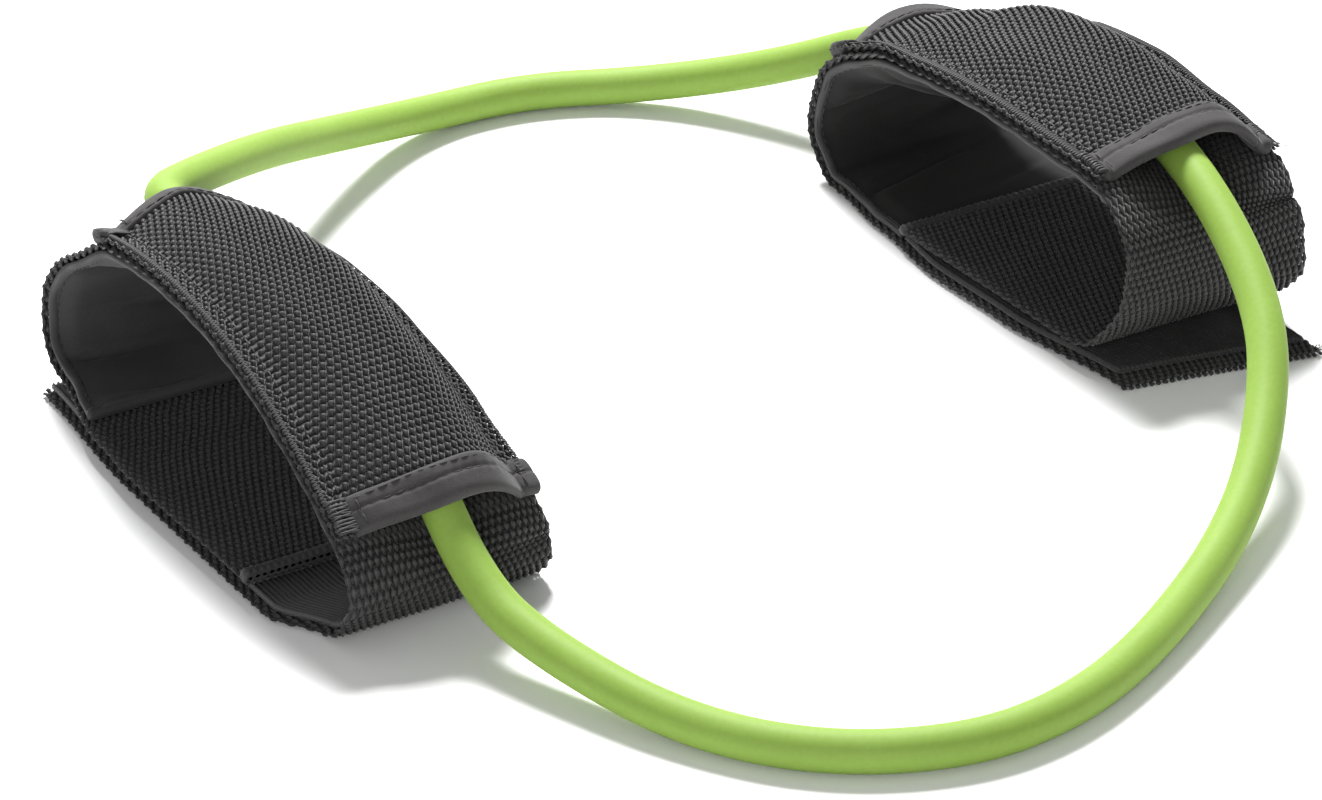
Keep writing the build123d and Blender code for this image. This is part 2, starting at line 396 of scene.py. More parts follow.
def strand_faces(strands, stations, sides, hand):
    """Faces of closed strands: a skin of rings, and a cap of four-cornered faces at each end."""
    ring = np.arange(sides)
    grid = (np.arange(strands)[:, None] * stations + np.arange(stations - 1)[None, :]) * sides
    first = grid[..., None] + ring
    second = grid[..., None] + (ring + 1) % sides
    skin = np.stack([first, first + sides, second + sides, second], -1).reshape(-1, 4)
    fan = [(0, 2 * i + 1, 2 * i + 2, 2 * i + 3) for i in range(sides // 2 - 1)]
    fan = np.array(fan)
    starts = (np.arange(strands) * stations * sides)[:, None, None] + fan
    ends = starts[..., ::-1] + (stations - 1) * sides
    faces = np.concatenate([skin, starts.reshape(-1, 4), ends.reshape(-1, 4)])
    return faces if hand > 0 else faces[:, ::-1]


def joined(parts):
    """Several (points, faces, crown) sets as one."""
    offset, faces = 0, []
    for points, part_faces, _ in parts:
        faces.append(part_faces + offset)
        offset += len(points)
    points = np.concatenate([part[0] for part in parts])
    return points, np.concatenate(faces), np.concatenate([part[2] for part in parts])


def weave(name, place, first, last, per_pick, material, sparse=(0, 0), seed=1):
    """Plain-woven webbing from pick number first to last: warp ends that swing over and under
    weft picks. Between the two sparse distances the warp has one station for each pick."""
    rng = np.random.default_rng(seed)
    stations = warp_stations(first, last, per_pick, sparse)
    ends = round(STRAP_WIDTH / END_PITCH)
    pitch = STRAP_WIDTH / ends
    end = np.arange(ends)[:, None, None]
    station = stations[None, :, None]
    angle = QUARTERS[None, None, :]
    phase = np.cos(pi * (station + end))
    swell = WARP_PINCH + (1 - WARP_PINCH) * np.abs(phase)
    swell = swell * (1 + UNEVEN * rng.standard_normal((ends, len(stations), 1)))
    middle = -STRAP_WIDTH / 2 + (end + 0.5) * pitch + END_SHAKE * rng.standard_normal((ends, 1, 1))
    swing = WARP_SWING * (1 + UNEVEN * rng.standard_normal((ends, len(stations), 1)))
    swing = swing * (1 - 0.5 * np.exp(-np.minimum(end, ends - 1 - end) / 1.2))
    x = middle + WARP_HALF_WIDTH * swell * np.cos(angle)
    h = swing * phase * np.abs(phase) ** 0.5 + WARP_HALF_HEIGHT * swell * np.sin(angle)
    x, h, s = np.broadcast_arrays(x, h, station * PICK_PITCH)
    hand = handedness(place, (stations[1] * PICK_PITCH, OFF_MIDDLE, 0.0))
    # The crown marks where shade is painted into the weave: low where a strand dips.
    crown = np.clip((np.abs(h) - 0.15) / 0.75, 0, 1).astype(np.float32).ravel()
    warp = (place(s, x, h).reshape(-1, 3), strand_faces(ends, len(stations), 4, hand), crown)
    weft = weft_picks(place, np.arange(first + 1, last), hand)
    points, faces, crown = joined([warp, weft])
    return build(name, points, faces, material, crown)


def warp_stations(first, last, per_pick, sparse):
    """Where the warp has a ring of points, counted in picks."""
    stations = []
    for pick in range(first, last):
        hidden = sparse[0] < pick * PICK_PITCH < sparse[1]
        stations += [pick] if hidden else [pick + i / per_pick for i in range(per_pick)]
    return np.array([*stations, last], float)


def weft_picks(place, picks, hand):
    """The straight weft inside the webbing, which loops out a little past its long edges."""
    share = np.linspace(-1, 1, 13)[None, :, None]
    loop = np.where(picks % 2 == 0, WEFT_LOOP, 0.0)[:, None, None]
    angle = QUARTERS[None, None, :]
    taper = np.where(np.abs(share) > 0.99, 0.5, 1.0)
    x = share * (STRAP_WIDTH / 2 + loop)
    s = picks[:, None, None] * PICK_PITCH + WEFT_HALF_WIDTH * taper * np.cos(angle)
    h = WEFT_HALF_HEIGHT * taper * np.sin(angle)
    s, x, h = np.broadcast_arrays(s, x, h)
    faces = strand_faces(len(picks), share.size, 4, -hand)
    # The weft's low crown gives it the weave's painted dip shade.
    crown = np.full(s.size, WEFT_CROWN, np.float32)
    return place(s, x, h).reshape(-1, 3), faces, crown


def swept(place, profile, x_range, cells=90, offset=None):
    """A closed (s, h) profile carried across x, with its two ends rounded and closed."""
    profile = np.array(profile)
    middle = profile.mean(axis=0)
    span = np.linspace(*x_range, cells)
    out = np.array([1.0, 0.8, 0.45, 0.0])
    shrink = np.array([0.25, 0.7, 0.92, 1.0])
    x = np.concatenate([span[0] - out, span[1:-1], span[-1] + out[::-1]])[None, :, None]
    scale = np.concatenate([shrink, np.ones(cells - 2), shrink[::-1]])[None, :, None]
    s = middle[0] + (profile[:, 0] - middle[0]) * scale
    h = middle[1] + (profile[:, 1] - middle[1]) * scale
    if offset is not None:
        s, h = s + offset(s, x)[0], h + offset(s, x)[1]
    s, x, h = np.broadcast_arrays(s, x, h)
    after = np.roll(profile, -1, axis=0)
    area = (profile[:, 0] * after[:, 1] - after[:, 0] * profile[:, 1]).sum()
    hand = -handedness(place, (float(s.mean()), OFF_MIDDLE, 0.0)) * (1 if area > 0 else -1)
    faces = strand_faces(1, x.shape[1], len(profile), hand)
    return place(s, x, h).reshape(-1, 3), faces, np.ones(s.size, np.float32)


def slab(name, place, s_range, x_range, faces_of, material, cells=(120, 48)):
    """A closed pad between a lower and an upper face, which faces_of gives as heights."""
    s = np.linspace(*s_range, cells[0] + 1)[:, None]
    x = np.linspace(*x_range, cells[1] + 1)[None, :]
    low, high = faces_of(s, x)
    s, x, low, high = np.broadcast_arrays(s, x, low, high)
    points = np.concatenate([place(s, x, low).reshape(-1, 3), place(s, x, high).reshape(-1, 3)])
    rows, columns = s.shape
    index = np.arange(rows * columns).reshape(rows, columns)
    top = np.stack([index[:-1, :-1], index[:-1, 1:], index[1:, 1:], index[1:, :-1]], -1)
    upper = rows * columns
    edge = np.concatenate([index[0, :-1], index[:-1, -1], index[-1, :0:-1], index[:0:-1, 0]])
    after = np.roll(edge, -1)
    side = np.stack([edge, after, after + upper, edge + upper], -1)
    top = top.reshape(-1, 4)
    faces = np.concatenate([top + upper, top[:, ::-1], side])
    if handedness(place, (float(s.mean()), float(x.mean()) + 1, 0.0)) < 0:
        faces = faces[:, ::-1]
    return build(name, points, faces, material)


def thread(place, rows, radius, sides=6):
    """Short lengths of thread: each row is (from, to), both (s, x, h), with sunken ends."""
    share = np.array([0, 0.12, 0.35, 0.65, 0.88, 1])
    bulge = np.array([-0.6, 0.35, 0.9, 0.9, 0.35, -0.6]) * radius
    thick = np.array([0.35, 0.85, 1, 1, 0.85, 0.35]) * radius
    first, last = (np.array([row[i] for row in rows], float) for i in (0, 1))
    line = first[:, None] + (last - first)[:, None] * share[None, :, None]
    along = (last - first)[:, :2]
    along /= np.linalg.norm(along, axis=1)[:, None]
    angle = np.linspace(0, 2 * pi, sides, endpoint=False)[None, None, :]
    across = thick[None, :, None] * np.cos(angle)
    s = line[..., 0, None] - along[:, 1, None, None] * across
    x = line[..., 1, None] + along[:, 0, None, None] * across
    h = line[..., 2, None] + bulge[None, :, None] + thick[None, :, None] * np.sin(angle)
    hand = handedness(place, tuple(first[0]))
    faces = strand_faces(len(rows), share.size, sides, hand)
    return place(s, x, h).reshape(-1, 3), faces, np.ones(s.size, np.float32)


def stitch_row(start, end, pitch=STITCH_PITCH, length=STITCH_LENGTH):
    """The (from, to) places of one straight row of stitches."""
    start, end = np.array(start, float), np.array(end, float)
    reach = np.linalg.norm((end - start)[:2])
    count = max(1, int(reach / pitch))
    step = (end - start) / count
    return [(start + step * i, start + step * (i + length / pitch)) for i in range(count)]


def node(material, kind, **values):
    """A shader node with its inputs set."""
    made = material.node_tree.nodes.new(kind)
    for name, value in values.items():
        made.inputs[name.replace("_", " ")].default_value = value
    return made


def cloth(name, dark, light, roughness, grain, bump, sheen=0.0, crown=False, specular=0.5):
    """Fabric whose colour runs from dark to light by a fine and a broad noise. With crown set,
    shade is painted into the weave's low places, which are darker still."""
    material = bpy.data.materials.new(name)
    material.use_nodes = True
    links = material.node_tree.links
    shader = material.node_tree.nodes["Principled BSDF"]
    shader.inputs["Sheen Weight"].default_value = sheen
    shader.inputs["Sheen Roughness"].default_value = 0.4
    shader.inputs["Specular IOR Level"].default_value = specular
    place = material.node_tree.nodes.new("ShaderNodeTexCoord")
    fine = node(material, "ShaderNodeTexNoise", Scale=grain, Detail=3.0, Roughness=0.6)
    broad = node(material, "ShaderNodeTexNoise", Scale=45.0, Detail=4.0, Roughness=0.55)
    for texture in (fine, broad):
        links.new(place.outputs["Object"], texture.inputs["Vector"])
    colour = mottled(material, fine, broad, dark, light)
    # painted shade: with crown set, the weave's dips are darkened
    if crown:
        colour = with_painted_dip_shade(material, colour, dark)
    links.new(colour, shader.inputs["Base Color"])
    rough = node(material, "ShaderNodeMapRange")
    rough.inputs["To Min"].default_value = roughness - 0.08
    rough.inputs["To Max"].default_value = roughness + 0.12
    links.new(broad.outputs[0], rough.inputs["Value"])
    links.new(rough.outputs[0], shader.inputs["Roughness"])
    relief = node(material, "ShaderNodeBump", Strength=0.6, Distance=bump)
    links.new(fine.outputs[0], relief.inputs["Height"])
    links.new(relief.outputs[0], shader.inputs["Normal"])
    return material


def mottled(material, fine, broad, dark, light):
    """A colour between dark and light, by the blend of two noises."""
    links = material.node_tree.links
    blend = node(material, "ShaderNodeMix")
    blend.data_type = "FLOAT"
    blend.inputs[0].default_value = 0.55
    links.new(fine.outputs[0], blend.inputs[2])
    links.new(broad.outputs[0], blend.inputs[3])
    ramp = node(material, "ShaderNodeValToRGB")
    ramp.color_ramp.elements[0].position = 0.32
    ramp.color_ramp.elements[1].position = 0.68
    ramp.color_ramp.elements[0].color = (*dark, 1)
    ramp.color_ramp.elements[1].color = (*light, 1)
    links.new(blend.outputs[0], ramp.inputs[0])
    return ramp.outputs[0]


def with_painted_dip_shade(material, colour, dark):
    """The colour where a strand stands proud, and painted shade, a darker colour, where it dips."""
    links = material.node_tree.links
    attribute = node(material, "ShaderNodeAttribute")
    attribute.attribute_name = "crown"
    depth = node(material, "ShaderNodeMix")
    depth.data_type = "RGBA"
    # painted shade: the colour in the dips is the dark colour scaled down
    depth.inputs[6].default_value = (*(PAINTED_DIP_SHADE * c for c in dark), 1)
    links.new(attribute.outputs["Fac"], depth.inputs[0])
    links.new(colour, depth.inputs[7])
    return depth.outputs[2]


def rubber():
    """Satin elastic tube: a bright green with faint cloudiness and a fine grain."""
    dark, light = (0.200, 0.318, 0.050), (0.232, 0.360, 0.068)
    material = cloth(
        "tube_rubber", dark, light, roughness=0.6, grain=900.0, bump=0.00002, specular=0.22
    )
    shader = material.node_tree.nodes["Principled BSDF"]
    shader.inputs["Subsurface Weight"].default_value = 0.3
    shader.inputs["Subsurface Radius"].default_value = (0.3, 0.6, 0.1)
    shader.inputs["Subsurface Scale"].default_value = 0.004
    return material


WEB = cloth(
    "webbing", (0.037, 0.036, 0.037), (0.077, 0.074, 0.074),
    roughness=0.56, grain=2600.0, bump=0.00007, sheen=0.1, crown=True, specular=0.3,
)
TAPE = cloth(
    "binding_tape", (0.032, 0.030, 0.031), (0.056, 0.053, 0.054),
    roughness=0.74, grain=2600.0, bump=0.00009, sheen=0.12, specular=0.2,
)
RIM = cloth(
    "rim_tape", (0.034, 0.032, 0.033), (0.056, 0.053, 0.054),
    roughness=0.7, grain=2800.0, bump=0.00007, sheen=0.08, specular=0.2,
)
LINING = cloth(
    "lining", (0.034, 0.033, 0.034), (0.056, 0.054, 0.055),
    roughness=0.65, grain=2600.0, bump=0.00004, sheen=0.06, specular=0.2,
)
# Painted shade: a darker copy of the lining, for the inside of the right cuff.
PAINTED_SHADE_LINING = cloth(
    "painted_shade_lining", (0.015, 0.015, 0.015), (0.027, 0.026, 0.026),
    roughness=0.7, grain=2600.0, bump=0.00004, sheen=0.04, specular=0.15,
)
RIBBED = cloth(
    "ribbed_tape", (0.034, 0.034, 0.035), (0.066, 0.064, 0.065),
    roughness=0.5, grain=2600.0, bump=0.00006, sheen=0.1,
)
PILE = cloth(
    "loop_pile", (0.012, 0.012, 0.013), (0.036, 0.036, 0.037),
    roughness=0.75, grain=2400.0, bump=0.00012, sheen=0.2,
)
HOOKS = cloth(
    "hook_field", (0.012, 0.012, 0.012), (0.028, 0.028, 0.028),
    roughness=0.5, grain=1800.0, bump=0.00008,
)
THREAD = cloth(
    "thread", (0.020, 0.020, 0.020), (0.038, 0.037, 0.037),
    roughness=0.6, grain=3600.0, bump=0.00005, sheen=0.1,
)
TACK_THREAD = cloth(
    "tack_thread", (0.015, 0.015, 0.015), (0.030, 0.029, 0.029),
    roughness=0.6, grain=3600.0, bump=0.00005,
)
DARK_THREAD = cloth(
    "dark_thread", (0.010, 0.010, 0.010), (0.022, 0.021, 0.021),
    roughness=0.6, grain=3600.0, bump=0.00005,
)
NYLON = cloth(
    "nylon_plug", (0.020, 0.020, 0.020), (0.032, 0.032, 0.032),
    roughness=0.4, grain=700.0, bump=0.00003,
)
GREEN = rubber()


def camera():
    """The camera, above the front and to the left, and turned towards both cuffs."""
    made = bpy.data.objects.new("camera", bpy.data.cameras.new("camera"))
    made.location = VIEW_FROM
    made.rotation_euler = (radians(90 - VIEW_TILT), 0, radians(-VIEW_TURN))
    made.data.lens = LENS
    made.data.sensor_width = 36
    made.data.clip_start = 0.05
    bpy.context.scene.collection.objects.link(made)
    bpy.context.scene.camera = made


def tube():
    """The elastic tube, on its smooth route from the connector and back to it."""
    curve = bpy.data.curves.new("resistance_tube_skin", "CURVE")
    curve.dimensions = "3D"
    spline = curve.splines.new("NURBS")
    spline.points.add(len(ROUTE) - 1)
    for point, place in zip(spline.points, ROUTE):
        point.co = (*place, 1)
    spline.order_u = 3
    spline.use_endpoint_u = True
    spline.resolution_u = 14
    curve.bevel_depth = TUBE_DIAMETER / 2
    curve.bevel_resolution = 9
    curve.use_fill_caps = True
    curve.materials.append(GREEN)
    piece = bpy.data.objects.new("resistance_tube_skin", curve)
    bpy.context.scene.collection.objects.link(piece)
    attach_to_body(piece, "tube")
    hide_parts("resistance_tube")


def connector():
    """The nylon of the plug that joins the tube's ends."""
    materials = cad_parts["tube_connector"].data.materials
    materials.clear()
    materials.append(NYLON)


def attach(piece, cuff, slot, *nodes):
    """Makes a piece ride on its cuff and stand for CAD nodes of that cuff."""
    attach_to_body(piece, f"{cuff.name}_cuff")
    if nodes:
        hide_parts(*(f"{cuff.name}_{name}" for name in nodes))
    return piece


def bend_at_hinge(piece, cuff, slot, *nodes):
    """Bakes a piece's place into its mesh and hides the CAD nodes that it stands for. It works out
    the fold's y but doesn't use it, and doesn't make the piece turn about the fold.
    """
    y = cuff.outline.at(cuff.hinge, 0)[0] * MM
    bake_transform(piece)
    if nodes:
        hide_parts(*(f"{cuff.name}_{name}" for name in nodes))


def straps(cuff):
    """The strap's inner end, folds and arch, then the flap, in one run of weave."""
    turn = int(cuff.hinge / PICK_PITCH)
    last = int(cuff.end / PICK_PITCH)
    hidden = (cuff.arch_start + 4, cuff.arch_stop - 4)
    piece = weave(f"{cuff.name}_strap_weave", cuff.strap, 0, turn, 3, WEB, hidden, seed=3)
    attach(piece, cuff, "webbing", "strap_webbing")
    piece = weave(f"{cuff.name}_flap_weave", cuff.strap, turn, last, 4, WEB, seed=5)
    bend_at_hinge(piece, cuff, "webbing", "closure_flap")


def sleeve(cuff):
    """The second layer of webbing, over the tube."""
    last = int(cuff.sleeve_length() / PICK_PITCH)
    piece = weave(f"{cuff.name}_sleeve_weave", cuff.sleeve, 0, last, 4, WEB, seed=7)
    attach(piece, cuff, "webbing", "sleeve_webbing")


def tape_profile(width, height):
    """The (s, h) outline of tape folded over the sleeve's cut end, which is at s = 0."""
    edge = WEBBING / 2 + 0.25
    top = [(width, edge - 0.9), (width - 0.1, edge), (width - 0.7, edge + 0.35)]
    for s in np.linspace(width - 1.3, 1.4, 17):
        lip = np.clip((TAPE_STITCH - s) / TAPE_STITCH, 0, 1) ** 0.7
        groove = 0.34 * np.exp(-(((s - TAPE_STITCH) / 0.45) ** 2))
        top.append((s, edge + 0.4 + (height - edge - 0.4) * lip - groove))
    nose = [(1.1 - 1.9 * sin(a), height * cos(a)) for a in np.linspace(0.35, pi - 0.35, 9)]
    under = [(s, -height) for s in np.linspace(1.6, width - 2, 5)]
    return [*top, *nose, *under, (width - 1, -edge), (width - 0.6, -edge + 0.9)]


def mouths(cuff):
    """The sleeve's two ends: name, place along it, way in from the end, and tape width."""
    return (
        ("front", 0.0, 1, FRONT_TAPE_WIDTH),
        ("rear", cuff.sleeve_length(), -1, REAR_TAPE_WIDTH),
    )


def bindings(cuff):
    """Folded tape over both mouths of the sleeve, each with a folded tab at its far end."""
    half = STRAP_WIDTH / 2
    for side, mouth, inward, width in mouths(cuff):

        def place(s, x, h, mouth=mouth, inward=inward):
            return cuff.sleeve(mouth + inward * s, x, h)

        def ruck(s, x):
            wave = 0.07 * np.sin(x * 2 * pi / STITCH_PITCH)
            wave = wave * np.exp(-(((s - TAPE_STITCH) / 1.5) ** 2))
            return 0.3 * np.sin(x * 0.23 + mouth), wave + 0.12 * np.sin(x * 0.4 + s * 0.5)

        far = half - TAB_WIDTH - cuff.tab_inset
        near = cuff.tape_from if side == "front" else 1.6 - half
        band = swept(place, tape_profile(width, TAPE_HEIGHT), (near, far), offset=ruck)
        tab = tape_profile(width + 0.5, TAPE_HEIGHT + 0.3)
        parts = [band, swept(place, tab, (far + 0.5, far + TAB_WIDTH), 14)]
        if side == "rear":
            corner = tape_profile(width + 0.2, TAPE_HEIGHT + 0.1)
            parts.append(swept(place, corner, (1.0 - half, REAR_TAB_WIDTH - half), 14))
        points, faces, _ = joined(parts)
        piece = build(f"{cuff.name}_{side}_tape", points, faces, TAPE)
        attach(piece, cuff, "binding", f"{side}_binding")


def seams(cuff):
    """The stitches that hold the sleeve's long edges down: a straight row and a zigzag."""
    length = cuff.sleeve_length()
    top = WEBBING / 2 + 0.1
    ends = (FRONT_TAPE_WIDTH - 1, length - REAR_TAPE_WIDTH + 1)
    rows = []
    for side in (1, -1):
        outer, inner = side * (STRAP_WIDTH / 2 - 0.4), side * (STRAP_WIDTH / 2 - cuff.edge_bite)
        rows += stitch_row((ends[0], side * SEAM, top), (ends[1], side * SEAM, top))
        for step in np.arange(*ends, ZIGZAG_PITCH):
            middle = (step + ZIGZAG_PITCH / 2, inner, top - 0.12)
            rows.append(((step, outer, top - 0.25), middle))
            rows.append((middle, (step + ZIGZAG_PITCH, outer, top - 0.25)))
    points, faces, _ = thread(cuff.sleeve, rows, SEAM_THREAD)
    attach(build(f"{cuff.name}_edge_stitches", points, faces, THREAD), cuff, "thread")


def tape_seams(cuff):
    """The stitches round each binding: two rows across the sleeve, and one up each side."""
    far = STRAP_WIDTH / 2 - TAB_WIDTH - cuff.tab_inset
    rows = []
    for _, mouth, inward, width in mouths(cuff):
        for reach, height in ((TAPE_STITCH, 1.22), (width - 0.9, 1.5)):
            s = mouth + inward * reach
            rows += stitch_row((s, cuff.tape_from + 0.5, height), (s, far, height))
        for x in (cuff.tape_from + 1.2, far + 1.4):
            rows += stitch_row(
                (mouth + inward * 0.5, x, 2.2), (mouth + inward * (width - 0.5), x, 1.7)
            )
    points, faces, _ = thread(cuff.sleeve, rows, SEAM_THREAD)
    attach(build(f"{cuff.name}_tape_stitches", points, faces, DARK_THREAD), cuff, "thread")


def tacks(cuff):
    """Dense blocks of thread at the sleeve's four corners."""
    rng = np.random.default_rng(11)
    half = STRAP_WIDTH / 2
    near_wide, far_wide = cuff.tape_from + half, 3.5
    corners = ((-1, near_wide, WEBBING / 2 + 0.25), (1, far_wide, WEBBING / 2 + 0.1))
    rows = []
    for _, mouth, inward, _ in mouths(cuff):
        for side, wide, top in corners:
            outer, inner = half - 0.6, half - wide - 0.3
            for step in range(TACK_STEPS):
                s = mouth + inward * (0.4 + TACK_PITCH * step)
                lean = 0.5 * (-1) ** step
                shake = 0.12 * rng.standard_normal(4)
                rows.append((
                    (s + shake[0], side * outer + shake[1], top),
                    (s + lean + shake[2], side * inner + shake[3], top + 0.15),
                ))
    points, faces, _ = thread(cuff.sleeve, rows, TACK_THREAD_SIZE)
    attach(build(f"{cuff.name}_corner_tacks", points, faces, TACK_THREAD), cuff, "thread", "bar_tacks")


def line_up(piece, cuff, slot, *nodes):
    """Makes a piece of the lining ride on its cuff, or passes it to bend_at_hinge if it runs on to
    the flap.

    bend_at_hinge neither attaches it to the cuff nor makes it turn about the fold, so a lining
    that runs past the fold does not follow the flap. In the right cuff that is a fault when the
    flap opens.
    """
    if cuff.lined[1] > cuff.hinge:
        bend_at_hinge(piece, cuff, slot, *nodes)
    else:
        attach(piece, cuff, slot, *nodes)


def hems(cuff):
    """The turned and closed end of the inner strap."""
    angle = np.linspace(0, 2 * pi, 14, endpoint=False)
    long, high = cuff.hem
    profile = [(HEM_INSET + long * cos(a), HEM_TOP - high + high * sin(a)) for a in angle]
    half = STRAP_WIDTH / 2 - 0.9

    def bumps(s, x):
        return 0 * x, 0.12 * np.sin(x * 2 * pi / 1.6) + 0.1 * np.sin(x * 0.31)

    points, faces, crown = swept(cuff.strap, profile, (-half, half), 220, bumps)
    # The hem's crown is halved, which paints it half-way to the weave's painted dip shade.
    piece = build(f"{cuff.name}_inner_hem", points, faces, WEB, 0.5 * crown)
    attach(piece, cuff, "webbing")


def frays(cuff):
    """Loose fibres where the webbing's cut ends show."""
    rng = np.random.default_rng(23)
    fibres = [
        fibre(rng, place, s, x, up) for place, s, x, up in cuff.frayed for _ in range(FRAY_COUNT)
    ]
    points, faces, _ = joined(fibres)
    attach(build(f"{cuff.name}_frayed_ends", points, faces, THREAD), cuff, "thread")


def fibre(rng, place, s, x, up):
    """One curved fibre that thins outwards, from near (s, x) and up or down by the sign of up."""
    reach = rng.uniform(2.0, 5.0)
    turn = rng.uniform(-1.3, 1.3)
    bend = rng.uniform(-1.5, 1.5)
    start = np.array([s, x, 0]) + rng.uniform(-1, 1, 3) * (1.2, 1.2, 0.6)
    share = np.linspace(0, 1, FRAY_STATIONS)
    way = turn + bend * share
    line_s = start[0] + 0.6 * reach * share * np.sin(way)
    line_x = start[1] + np.sign(x) * reach * share * np.cos(way)
    line_h = up * (start[2] + rng.uniform(0, 0.8) * reach * share**1.5)
    angle = QUARTERS[None, :]
    thick = (FRAY_RADIUS * (1 - 0.6 * share))[:, None]
    s_ring = line_s[:, None] + thick * np.cos(angle)
    x_ring = line_x[:, None] + 0 * angle
    h_ring = line_h[:, None] + thick * np.sin(angle)
    hand = -handedness(place, tuple(start)) * np.sign(x)
    faces = strand_faces(1, FRAY_STATIONS, len(QUARTERS), hand)
    points = place(s_ring[None], x_ring[None], h_ring[None]).reshape(-1, 3)
    return points, faces, np.ones(len(points), np.float32)


def lining_pads(cuff):
    """The padded lining inside the arch and the rear fold."""
    half = STRAP_WIDTH / 2 - LINER_MARGIN
    outer = -WEBBING / 2 - 0.1

    def faces_of(s, x):
        edge = 1 - ease(np.abs(x), half - 6, half)
        swell = 1.1 * edge + 0.8 * edge * np.sin(s * 0.13 + 1.7 * np.sin(x * 0.09) + cuff.turns)
        middle, depth = cuff.lining_fold
        swell = swell + depth * edge * np.exp(-(((s - middle + 0.2 * x) / 9) ** 2))
        along = (s + 0.25 * x) % CREASE_PITCH - 8
        crease = 0.9 * edge * np.exp(-((along / 1.5) ** 2)) * (1 + np.sin(s * 0.19 + 1))
        inner = outer - LINER - swell + crease
        return inner, np.full_like(inner, outer - 0.05)

    piece = slab(
        f"{cuff.name}_lining_pad", cuff.strap, cuff.lined, (-half, half), faces_of,
        cuff.lining_cloth,
    )
    line_up(piece, cuff, "liner", "liner")


def lining_rims(cuff):
    """The soft bound edges of the lining, with a lip at its first end, and their stitches."""
    first, last = cuff.lined
    half = STRAP_WIDTH / 2 - LINER_MARGIN
    wide, deep = cuff.rim
    base = -WEBBING / 2 - 0.1 - deep / 2
    angle = np.linspace(0, 2 * pi, RIM_SIDES, endpoint=False)
    stations = np.linspace(first, last, RIM_STATIONS)[None, :, None]
    rims, rows = [], []
    for side in (1, -1):
        middle = half + 0.3 - wide / 2
        x = side * (middle + wide / 2 * np.cos(angle) + 0.15 * np.sin(stations * 0.55))
        h = base + deep / 2 * np.sin(angle) + 0.12 * np.sin(stations * 0.31 + 2)
        s, x, h = np.broadcast_arrays(stations, x, h)
        hand = handedness(cuff.strap, (float(stations.mean()), OFF_MIDDLE, 0.0)) * side
        faces = strand_faces(1, RIM_STATIONS, RIM_SIDES, hand)
        rims.append((cuff.strap(s, x, h).reshape(-1, 3), faces, np.ones(s.size, np.float32)))
        reach, under = side * (middle - 0.5), -base + deep / 2 - 0.1
        rows += stitch_row((first + 1, reach, under), (last - 1, reach, under))
    lip = [(first + 0.6 + 1.3 * cos(a), base + 1.35 * sin(a)) for a in angle]
    rims.append(swept(cuff.strap, lip, (-half + 0.8, half - 0.8), 60))
    points, faces, _ = joined(rims)
    rim = build(f"{cuff.name}_lining_rims", points, faces, cuff.rim_cloth)
    line_up(rim, cuff, "binding", "liner_binding")

    def inside(s, x, h):
        return cuff.strap(s, x, -h)

    points, faces, _ = thread(inside, rows, LINING_THREAD)
    line_up(build(f"{cuff.name}_lining_stitches", points, faces, DARK_THREAD), cuff, "thread")


def loop_tapes(cuff):
    """The finely ribbed tape on the flap's upper face, which starts inside the left front fold."""
    half = STRAP_WIDTH / 2 - TAPE_MARGIN
    count = int(2 * half / RIB_PITCH)

    def faces_of(s, x):
        rib = 0.28 * np.cos(2 * pi * x / RIB_PITCH) + 0.05 * np.sin(s * 2.1 + x * 5)
        lower = np.full_like(rib, -WEBBING / 2 - 0.05)
        return -WEBBING / 2 - 1.0 - rib, lower

    spans = (cuff.taped, cuff.end - cuff.tape_border)
    piece = slab(
        f"{cuff.name}_ribbed_tape", cuff.strap, spans, (-half, half), faces_of, cuff.tape_cloth,
        (100, count * 6),
    )
    bend_at_hinge(piece, cuff, "loop_tape", "loop_tape")


def hook_tapes(cuff):
    """The hooked tape under the inner strap, with rows of small hooks."""
    half = STRAP_WIDTH / 2 - TAPE_MARGIN

    def faces_of(s, x):
        along, across = HOOK_PITCH
        hooks = 0.22 * (np.sin(2 * pi * s / along) * np.sin(2 * pi * x / across)) ** 2
        lower = np.full_like(hooks, WEBBING / 2 - 0.05)
        return lower, WEBBING / 2 + 0.85 + hooks

    piece = slab(
        f"{cuff.name}_hook_strip", cuff.strap, cuff.hooked, (-half, half), faces_of, HOOKS,
        (160, 150),
    )
    attach(piece, cuff, "hook_tape", "hook_tape")


def studio():
    """A white floor under soft light from above and behind."""
    bpy.ops.mesh.primitive_plane_add(size=FLOOR_SIZE)
    floor = bpy.context.object
    floor.name = "floor"
    white = bpy.data.materials.new("floor_white")
    white.use_nodes = True
    shader = white.node_tree.nodes["Principled BSDF"]
    shader.inputs["Base Color"].default_value = (*[FLOOR_WHITE] * 3, 1)
    shader.inputs["Roughness"].default_value = 0.7
    shader.inputs["Specular IOR Level"].default_value = 0.1
    floor.data.materials.append(white)
    world = bpy.data.worlds.new("studio")
    bpy.context.scene.world = world
    world.use_nodes = True
    world.node_tree.nodes["Background"].inputs["Color"].default_value = (1, 1, 1, 1)
    world.node_tree.nodes["Background"].inputs["Strength"].default_value = SKY
    softbox("key", *KEY)
    softbox("fill", *FILL)


def softbox(name, place, size, power):
    """A square area light aimed at the middle of the object."""
    light = bpy.data.objects.new(name, bpy.data.lights.new(name, "AREA"))
    light.data.size = size
    light.data.energy = power
    light.location = place
    aim = (cad_box[0] + cad_box[1]) / 2 - Vector(place)
    light.rotation_euler = aim.to_track_quat("-Z", "Y").to_euler()
    bpy.context.scene.collection.objects.link(light)


